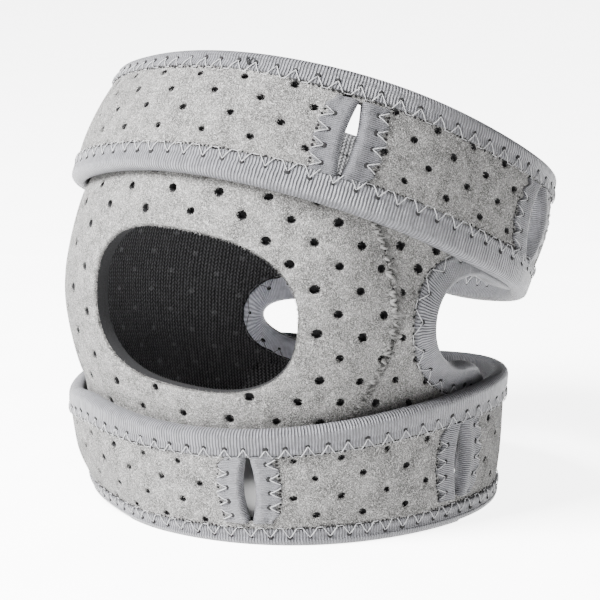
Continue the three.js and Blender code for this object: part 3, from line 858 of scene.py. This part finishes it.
class Sewing:
    """Gathers the stitches of one piece: thread lines, and needle pits and dark marks, painted shade, with
    their directions.
    """

    def __init__(self):
        self.points, self.edges = [], []
        self.pits, self.marks = ([], []), ([], [])

    def line(self, points):
        first = len(self.points)
        self.points.extend(points.tolist())
        self.edges.extend((first + i, first + i + 1) for i in range(len(points) - 1))

    def press(self, kind, bend, spots, heights, side):
        kind[0].extend(bend(spots[:, 0], spots[:, 1], heights).tolist())
        kind[1].extend(face_normal(bend, spots[:, 0], spots[:, 1], heights, side).tolist())

    def zigzag(self, edge, wall, width, bend, pitch, side=1, start=0.0, finish=None, amplitude=STITCH_IN):
        """V stitches over the edge of a tape. Each point of a V gets a dark pit in the tape, painted shade of
        the needle hole, and small dark marks along the tape's edge are painted shade of the pulled stitches.
        """
        finish = edge.length if finish is None else finish
        count = max(1, int((finish - start) / pitch))
        face = wall / 2
        share = np.linspace(0, 1, 5)
        draw = np.random.default_rng(count)
        for k in range(count):
            apex = start + (k + 0.5 + draw.uniform(-0.05, 0.05)) * pitch
            tip = -amplitude + draw.uniform(-0.2, 0.2)
            feet = [(apex - 0.34 * pitch, 0.5), (apex, tip), (apex + 0.34 * pitch, 0.5),
                    (apex + 0.66 * pitch, 0.5)]
            for (u0, in0), (u1, in1) in zip(feet[:-1], feet[1:]):
                under = in0 == in1
                if under and k == count - 1 and not edge.closed:
                    continue
                u = u0 + (u1 - u0) * share
                into = width_at(width, edge.point(u)) + in0 + (in1 - in0) * share
                high = face + (0.14 if under else 0.66 + 0.32 * np.sin(math.pi * share)) + 0 * share
                spots = edge.spot(u, into)
                self.line(bend(spots[:, 0], spots[:, 1], side * high))
            # A dark pit at the V's point: painted shade of the needle hole.
            u = np.array([apex])
            spots = edge.spot(u, width_at(width, edge.point(u)) + tip - 0.15)
            self.press(self.pits, bend, spots, np.array([side * (face + 0.52)]), side)
            # Small dark marks along the tape's edge: painted shade where the stitches pull the cloth in.
            u = apex + pitch * np.array([-0.45, -0.34, -0.12, 0.12, 0.34, 0.5]) + draw.uniform(-0.2, 0.2, 6)
            spots = edge.spot(u, width_at(width, edge.point(u)) + draw.uniform(0.2, 0.65, 6))
            self.press(self.marks, bend, spots, np.full(6, side * (face + 0.04)), side)


THREADS, PITS, FIBRES = thread_growth(), mark_growth(), fibre_growth()


def settle(piece, slot, *nodes):
    """Every piece rides on the part's one body and may stand for solids, whose parts it hides. Its slot is not
    used.
    """
    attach(piece, "root")
    if nodes:
        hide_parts(*nodes)
    return piece


def sew(name, sewing, slot, radius=0.00014, yarn=THREAD):
    """Grows the threads, and the needle pits and small dark marks, painted shade, that were gathered."""
    made = [THREADS.grow(name + "_thread", sewing.points, sewing.edges, None, yarn, thread_radius=radius)]
    pressed = (("needle_pits", sewing.pits, 0.00076), ("edge_marks", sewing.marks, 0.0004))
    for word, (points, out), size in pressed:
        if points:
            made.append(PITS.grow(f"{name}_{word}", points, [], out, DARK_THREAD_AND_PIT_SHADE, pit_radius=size))
    for piece in made:
        settle(piece, slot)


# Perforations, in staggered rows
def body_perforations():
    """Rows down the panels. The pitch is wider over the kneecap, where the cloth is stretched."""
    spots = []
    for row in range(-1, 12):
        height = 33.5 - 5.9 * row - 0.07 * row * abs(row)
        for k in range(-16, 14):
            at = k + (0.0 if row % 2 else 0.5)
            if at < 0:
                s = -56.2 + 17.5 * at
            elif at < 5.3:
                s = -56.2 + 21.5 * at - 0.75 * at * at
            else:
                s = 36.68 + 13.55 * (at - 5.3)
            s += 0.07 * row * row
            spots.append((s, height + 0.03 * (s - 46)))
    return np.array(spots)


def upper_perforations():
    """Rows along the upper strap, closer together where it turns the side of the knee."""
    spots = []
    rows = [(17.2, 0.0), (11.6, 0.5), (6.2, 0.0), (0.4, 0.5), (-5.5, 0.05), (-11.4, 0.45), (-17.0, 0.0)]
    for height, phase in rows:
        for k in range(-12, 28):
            at = k + phase
            if at < 0:
                angle = 242.2 + 12.8 * at
            elif at < 9:
                angle = 242.2 + 14.3 * at - 0.25 * at * at
            else:
                angle = 350.65 + 11.0 * (at - 9)
            angle += 1.6 * (1 - float(smooth(angle, 215, 265)))
            spots.append((math.radians(angle) * LEG_RADIUS, height - 0.5))
    return np.array(spots)


def lower_perforations():
    """Rows along the lower strap. The two sides of its front slot don't line up."""
    spots = []
    for first, last, top, odd, even in ((90, 288, 14.1, 251.7, 257.6), (290, 505, 14.4, 305.8, 300.2)):
        for row in range(5):
            start = even if row % 2 else odd
            for k in range(-14, 18):
                angle = start + 12.15 * k
                if first < angle < last:
                    height = top - (6.55 if first < 200 else 5.9) * row
                    spots.append((math.radians(angle) * LEG_RADIUS, height))
    return np.array(spots)


# Panels
def arm_reach(notch, side):
    return notch["reach"] if side > 0 else notch["low_reach"]


def notch_edge(notch, side, x):
    """Height of a notch's side at a distance from its closed end: round, then off to the strap's rim."""
    if x < notch["depth"]:
        share = 1 - x / notch["depth"]
        return notch["middle"] + side * notch["half"] * math.sqrt(1 - share * share)

    def rim(at):
        return side * float(gap_height(np.array(panel_angle(notch["closed_at"] + notch["way"] * at)))) / 2

    arm = rim(notch["depth"]) - (notch["middle"] + side * notch["half"])
    gone = (x - notch["depth"]) / arm_reach(notch, side)
    return rim(x) - arm * (1 - gone * gone)


def notch_line(notch, spare=0.0, steps=40):
    """Finished outline of a notch, with the cloth on its left."""
    def arm(side):
        xs = np.linspace(notch["depth"], notch["depth"] + arm_reach(notch, side) + spare, steps)[1:]
        return [(notch["closed_at"] + notch["way"] * x, notch_edge(notch, side, x)) for x in xs]

    turns = np.linspace(-math.pi / 2, math.pi / 2, steps)
    closed_end = [(notch["closed_at"] + notch["way"] * notch["depth"] * (1 - math.cos(a)),
                   notch["middle"] + notch["half"] * math.sin(a)) for a in turns]
    upwards = arm(-1)[::-1] + closed_end + arm(1)
    return np.array(upwards if notch["way"] > 0 else upwards[::-1])


def seam_line(t):
    return SEAM_AT - t * t / (2 * SEAM_RADIUS)


def hole_line():
    turns = np.linspace(0, 2 * math.pi, 181)[:-1]
    s = HOLE_WIDTH / 2 * np.sign(np.cos(turns)) * np.abs(np.cos(turns)) ** (2 / HOLE_POWER)
    t = HOLE_HEIGHT / 2 * np.sign(np.sin(turns)) * np.abs(np.sin(turns)) ** (2 / HOLE_POWER)
    return spaced(np.stack([s, t - HOLE_DROP - HOLE_SKEW * s], axis=-1), 1.5, True)


def panel_outline(start, finish):
    """Outline of a panel between two edges, given as functions of t."""
    def half(s):
        return gap_height(np.array(panel_angle(s))) / 2 + PANEL_UNDER

    def end(line, upwards):
        tall = half(line(0.0))
        t = np.linspace(-tall, tall, 48)[1:-1]
        edge = np.array([(line(v), v) for v in t])
        return edge if upwards else edge[::-1]

    corners = [(start, -1), (finish, -1), (finish, 1), (start, 1)]
    reach = [line(float(half(line(0.0)))) for line, _ in corners]
    bottom = np.linspace(reach[0], reach[1], max(8, int(abs(reach[1] - reach[0]) / 2.2)))
    top = bottom[::-1]
    deeper = 17.0 * smooth(-bottom, 100, 112) * (1 - smooth(-bottom, 166, 178))
    return np.vstack([np.stack([bottom, -half(bottom) - deeper], axis=-1), end(finish, True),
                      np.stack([top, half(top)], axis=-1), end(start, False)])


CUT_SPARE = 6.0


def panel_end(notch):
    return notch["closed_at"] + notch["way"] * (notch["depth"] + notch["reach"] + ARM_SPARE)


def raw_notch(notch):
    """Cut outline of a notch under its tape, closed past the end of the panel."""
    line = notch_line(notch, spare=CUT_SPARE)
    line = line + left_normals(line, False) * RAW
    last = 0 if notch["way"] > 0 else len(line)
    corner = (panel_end(notch) + CUT_SPARE * notch["way"], line[min(last, len(line) - 1), 1])
    return spaced(np.insert(line, last, corner, axis=0), 2.0, False)


def seam_edge(gap):
    t = np.linspace(-34, 34, 60)
    return np.stack([seam_line(t) + gap, t], axis=-1)


PERFORATION, PERFORATION_MARGIN, PANEL_WELL = 1.36, 0.45, 2.6
STRAP_PERFORATION, STRAP_PERFORATION_MARGIN, STRAP_WELL = 1.0, 1.15, 1.7
hole = hole_line()


def perforated(name, outline, gaps, raw_edges, spots, radius, margin, seed, bend, wall, well):
    """A piece of cloth with the perforations that fall on it, clear of its edges."""
    spots = spots[inside(spots, outline)]
    for gap in gaps:
        spots = spots[~inside(spots, gap)]
    for line in (outline, *gaps):
        spots = spots[distance_to(spots, line, True) > radius + margin]
    spots, rims = punched(spots, radius, seed)
    return cloth(name, outline, gaps, raw_edges, spots, rims, bend, wall, well), spots, rims


def panel_cloth(name, outline, gaps, raw_edges, seed):
    return perforated(name, outline, gaps, raw_edges, body_perforations(), PERFORATION, PERFORATION_MARGIN,
                      seed, panel_bend, PANEL_WALL, PANEL_WELL)


def front_panel():
    notch = NOTCHES["far"]
    outline = panel_outline(lambda t: panel_end(notch), lambda t: seam_line(t) - CLEARANCE / 2)
    raw = [(hole, True, -1), (seam_edge(-CLEARANCE / 2), False, 1)]
    return panel_cloth("front_panel_cloth", outline, [hole, raw_notch(notch)], raw, 21)


def side_panel():
    notch = NOTCHES["side"]
    outline = panel_outline(lambda t: seam_line(t) + CLEARANCE / 2, lambda t: panel_end(notch))
    raw = [(seam_edge(CLEARANCE / 2), False, -1)]
    return panel_cloth("side_panel_cloth", outline, [raw_notch(notch)], raw, 22)


# Straps
def strap_outline(inset):
    """Outline of a strap with its rounded ends, some way in from its finished edge."""
    start, finish = STRAP_START * LEG_RADIUS + inset, STRAP_FINISH * LEG_RADIUS - inset
    half, corner = STRAP_WIDTH / 2 - inset, STRAP_END_RADIUS - inset
    points = []
    for s, t, first in ((finish - corner, corner - half, 270), (finish - corner, half - corner, 0),
                        (start + corner, half - corner, 90), (start + corner, corner - half, 180)):
        turns = np.radians(np.linspace(first, first + 90, 9))
        points += [(s + corner * math.cos(a), t + corner * math.sin(a)) for a in turns]
    return np.array(points)


def slot_side(slot, side, length, raw=0.0):
    """One side of a slot, which gapes most at its middle."""
    middle = math.radians(slot["at"]) * LEG_RADIUS
    t = np.linspace(-length / 2, length / 2, 15)
    gape = SLOT_END_OPENING + (slot["opening"] - SLOT_END_OPENING) * np.cos(math.pi * t / length)
    return np.stack([middle + side * (gape / 2 + raw), t], axis=-1)


def strap_cloth(strap):
    outline = spaced(strap_outline(RAW), 2.1, True)
    gaps = []
    for slot in SLOTS.values():
        if slot["strap"] == strap:
            length = SLOT_LENGTH + 2 * CLEARANCE
            gaps.append(np.vstack([slot_side(slot, 1, length, RAW), slot_side(slot, -1, length, RAW)[::-1]]))
    spots = upper_perforations() if strap == "upper" else lower_perforations()
    return perforated(f"{strap}_strap_cloth", outline, gaps, [], spots, STRAP_PERFORATION,
                      STRAP_PERFORATION_MARGIN, 23, BENDS[strap], STRAP_WALL, STRAP_WELL)


def fringe(name, line, closed, bend, height, inward, slot, density, length, seed):
    """Fibres of the pile along a raw edge, reaching out over it."""
    draw = np.random.default_rng(seed)
    edge = Edge(line, closed)
    u = draw.uniform(0, edge.length, int(edge.length * density))
    into = draw.uniform(0.0, 0.5, len(u)) * inward
    spots = edge.spot(u, into)
    n = height - draw.uniform(0.15, 0.9, len(u))
    points = bend(spots[:, 0], spots[:, 1], n)
    beyond = edge.spot(u, into - inward * draw.uniform(0.4, 1.0, len(u)))
    aim = bend(beyond[:, 0], beyond[:, 1], n + draw.uniform(0.0, 0.9, len(u))) - points
    aim = aim / np.linalg.norm(aim, axis=1, keepdims=True)
    return settle(FIBRES.grow(name, points, [], aim, PILE, fibre_length=length, lean=0.5, seed=seed), slot)


def pile_in_holes(name, spots, rims, bend, height, slot, each, seed):
    """Fibres that lean over the rim of each perforation and roughen it."""
    draw = np.random.default_rng(seed)
    turn = draw.uniform(0, 2 * math.pi, (len(spots), each))
    way = np.stack([np.cos(turn), np.sin(turn)], axis=-1)
    radius = rims.mean(axis=1)[:, None, None]
    foot = spots[:, None] + way * (radius + 0.15)
    n = np.full(turn.shape, height - 0.42)
    tip = spots[:, None] + way * (radius * draw.uniform(0.3, 0.8, turn.shape)[..., None])
    points = bend(foot[..., 0], foot[..., 1], n).reshape(-1, 3)
    aim = bend(tip[..., 0], tip[..., 1], n + 0.12).reshape(-1, 3) - points
    aim = aim / np.linalg.norm(aim, axis=1, keepdims=True)
    grown = FIBRES.grow(name, points, [], aim, PILE, fibre_length=0.00075, fibre_radius=0.00009, lean=0.6,
                         seed=seed)
    return settle(grown, slot)


def seam_stitches():
    """Loose, fluffy yarn back and forth across the seam of the two panels."""
    sewing = Sewing()
    draw = np.random.default_rng(31)
    t = -31.0 + np.cumsum(draw.uniform(0.35, 1.65, 61))
    side = np.where(np.arange(len(t)) % 2, 1.0, -1.0)
    s = seam_line(t) + side * draw.uniform(0.2, 2.6, len(t))
    share = np.linspace(0, 1, 6)
    for i in range(len(t) - 1):
        ss, tt = s[i] + (s[i + 1] - s[i]) * share, t[i] + (t[i + 1] - t[i]) * share
        high = PANEL_WALL / 2 - 0.3 + draw.uniform(0.2, 0.6) * np.sin(math.pi * share)
        sewing.line(panel_bend(ss, tt, high))
    # Small dark marks along the seam: painted shade where the yarn pulls into the cloth.
    t = draw.uniform(-30, 30, 46)
    spots = np.stack([seam_line(t) + draw.uniform(-1.6, 1.6, len(t)), t], axis=-1)
    sewing.press(sewing.marks, panel_bend, spots, np.full(len(t), PANEL_WALL / 2 - 0.02), 1)
    return sewing


soft = []
panel, spots, rims = front_panel()
settle(panel, "panel", "front_panel")
soft.append(panel)
pile_in_holes("front_panel_hole_fibres", spots, rims, panel_bend, PANEL_WALL / 2, "panel", 12, 3)
fringe("kneecap_hole_fringe", hole, True, panel_bend, PANEL_WALL / 2, -1, "panel", 16, 0.0006, 7)
panel, spots, rims = side_panel()
settle(panel, "panel", "side_panel")
soft.append(panel)
pile_in_holes("side_panel_hole_fibres", spots, rims, panel_bend, PANEL_WALL / 2, "panel", 12, 4)
sew("panel_seam", seam_stitches(), "panel", radius=0.00056, yarn=FLUFF)
for word, inward, seed in (("left", -1, 8), ("right", 1, 9)):
    fringe(f"panel_seam_{word}_fringe", seam_edge(0.0), False, panel_bend, PANEL_WALL / 2 + 0.35, inward,
           "panel", 60, 0.0017, seed)

PITCH, LIP_PITCH = 5.75, 4.85   # from one V of the stitching to the next


def strap_tape_width(strap):
    """Width of the tape on the outside of a strap. It was sewn on by hand and wanders from hem to hem."""
    def width(points):
        right = smooth(np.degrees(points[..., 0] / LEG_RADIUS), 235, 350)
        share = smooth(points[..., 1], -12, 12)
        if strap == "upper":
            low, high = 7.0 + 2.0 * right, 5.5 + 1.5 * right
        else:
            low, high = 5.3 + 0.4 * right, 8.0
        return low + (high - low) * share

    return width


for key, node in (("side", "side_notch_binding"), ("far", "far_notch_binding")):
    edge = Edge(notch_line(NOTCHES[key], spare=5.0 if key == "side" else 0.0), False)
    # The far notch's tape wears the much lighter copy of the tape on its inner leg: painted light there.
    tape = folded_tape(f"{key}_notch_tape", edge, PANEL_WALL, NOTCH_TAPE_OUTSIDE, NOTCH_TAPE_INSIDE,
                       panel_bend, PITCH, 0.5, LIP_TAPE, inner=PAINTED_LIGHT_TAPE if key == "far" else None)
    settle(tape, "binding", node)
    sewing = Sewing()
    sewing.zigzag(edge, PANEL_WALL, NOTCH_TAPE_OUTSIDE, panel_bend, PITCH, 1)
    sewing.zigzag(edge, PANEL_WALL, NOTCH_TAPE_INSIDE, panel_bend, PITCH, -1)
    sew(f"{key}_notch", sewing, "binding")

for strap in ("upper", "lower"):
    band, spots, rims = strap_cloth(strap)
    settle(band, "strap", f"{strap}_strap")
    soft.append(band)
    pile_in_holes(f"{strap}_strap_hole_fibres", spots, rims, BENDS[strap], STRAP_WALL / 2, "strap", 9, 5)
    edge = Edge(spaced(strap_outline(0.0), 1.3, True), True)
    pitch = edge.length / round(edge.length / PITCH)
    outside = strap_tape_width(strap)
    # Along the upper strap's top hem, the tape's inner leg wears the black lining instead of tape: painted
    # shade inside the strap.
    tape = folded_tape(f"{strap}_strap_tape", edge, STRAP_WALL, outside, STRAP_TAPE_INSIDE, BENDS[strap],
                       pitch, 0.45, TAPE, floor=strap == "lower",
                       inner=LINING if strap == "upper" else None, inner_low=0.0)
    settle(tape, "binding", f"{strap}_strap_binding")
    sewing = Sewing()
    sewing.zigzag(edge, STRAP_WALL, outside, BENDS[strap], pitch, 1)
    sewing.zigzag(edge, STRAP_WALL, STRAP_TAPE_INSIDE, BENDS[strap], pitch, -1, start=edge.length * 0.5)
    sew(f"{strap}_strap_tape", sewing, "binding")

for name, slot in SLOTS.items():
    bend = BENDS[slot["strap"]]
    for side, word in ((1, "right"), (-1, "left")):
        line = slot_side(slot, side, SLOT_LENGTH + 1.6)
        edge = Edge(line[::-1] if side > 0 else line, False, inward=(side, 0))
        lip = folded_tape(f"{name}_{word}_lip", edge, STRAP_WALL, SLOT_TAPE, SLOT_TAPE, bend, LIP_PITCH,
                          -1.9, LIP_TAPE, step=0.6)
        settle(lip, "binding", f"{name}_{word}_tape")
        sewing = Sewing()
        sewing.zigzag(edge, STRAP_WALL, SLOT_TAPE, bend, LIP_PITCH)
        sew(f"{name}_{word}", sewing, "binding")

# A stray dark thread stands up as a small V at the top of the upper strap
stray = Sewing()
for off, up in ((-1.0, 2.3), (0.9, 2.2)):
    s = math.radians(276.5) * LEG_RADIUS + np.array([0.0, off * 0.55, off])
    stray.line(BENDS["upper"](s, 14.4 + np.array([0.0, up * 0.5, up]), np.array([2.3, 2.9, 2.6])))
sew("stray", stray, "binding", radius=0.00026, yarn=DARK_THREAD_AND_PIT_SHADE)

for strap in ("upper", "lower"):
    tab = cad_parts[f"{strap}_hook_tab"]
    for place in tab.material_slots:
        place.material = HOOKS

for piece in soft:
    del piece["cut"]


# Floor, lights and camera
def floor():
    """A pale table that glows as if lit from below: painted light all round the part, and no glow inside its
    hollow, which paints shade there.
    """
    mesh = bpy.data.meshes.new("floor")
    mesh.from_pydata([(-4, -4, 0), (4, -4, 0), (4, 4, 0), (-4, 4, 0)], [], [(0, 1, 2, 3)])
    finish = Finish("pale floor")
    grain = finish.noise(finish.place(), 40.0, 2.0)
    color = finish.blend(grain.ramp(0.3, 0.7), (0.48, 0.48, 0.48, 1), (0.52, 0.52, 0.52, 1))
    x, y, _ = finish.parts(finish.place())
    away = ((x + 5.3) ** 2.0 + (y + 7.7) ** 2.0) ** 0.5
    # Painted light: the floor glows beyond the part's footprint; inside the hollow it does not glow, painted
    # shade.
    glow = finish.blend(away.ramp(54.0, 60.0), (0, 0, 0, 1), (1, 1, 1, 1))
    finish.feed(finish.shader.inputs["Emission Color"], glow)
    finish.shader.inputs["Emission Strength"].default_value = 5.6
    mesh.materials.append(finish.wear(color, 0.9))
    piece = bpy.data.objects.new("floor", mesh)
    bpy.context.scene.collection.objects.link(piece)


def area_light(name, where, toward, width, height, power):
    light = bpy.data.lights.new(name, "AREA")
    light.shape, light.size, light.size_y, light.energy = "RECTANGLE", width, height, power
    lamp = bpy.data.objects.new(name, light)
    lamp.location = where
    lamp.rotation_euler = (Vector(toward) - Vector(where)).to_track_quat("-Z", "Y").to_euler()
    bpy.context.scene.collection.objects.link(lamp)


AZIMUTH, ELEVATION, DISTANCE = math.radians(27), math.radians(12), 0.808
TARGET = Vector((-0.00107, -0.00559, 0.0589))
eye = bpy.data.objects.new("camera", bpy.data.cameras.new("camera"))
eye.data.sensor_width, eye.data.lens = 36.0, 157.68
eye.data.clip_start = 0.01
eye.location = TARGET + DISTANCE * Vector((math.sin(AZIMUTH) * math.cos(ELEVATION),
                                           -math.cos(AZIMUTH) * math.cos(ELEVATION), math.sin(ELEVATION)))
eye.rotation_euler = (TARGET - eye.location).to_track_quat("-Z", "Y").to_euler()
bpy.context.scene.collection.objects.link(eye)
bpy.context.scene.camera = eye

floor()
middle = (0, 0, 0.07)
area_light("key from the left", (-0.49, -0.73, 0.80), middle, 0.5, 0.5, 205.0)
area_light("fill from the front", (0.76, -1.50, 0.34), middle, 1.0, 0.5, 24.0)
world = bpy.data.worlds.new("studio")
world.use_nodes = True
world.node_tree.nodes["Background"].inputs["Color"].default_value = (1, 1, 1, 1)
world.node_tree.nodes["Background"].inputs["Strength"].default_value = 0.15
bpy.context.scene.world = world
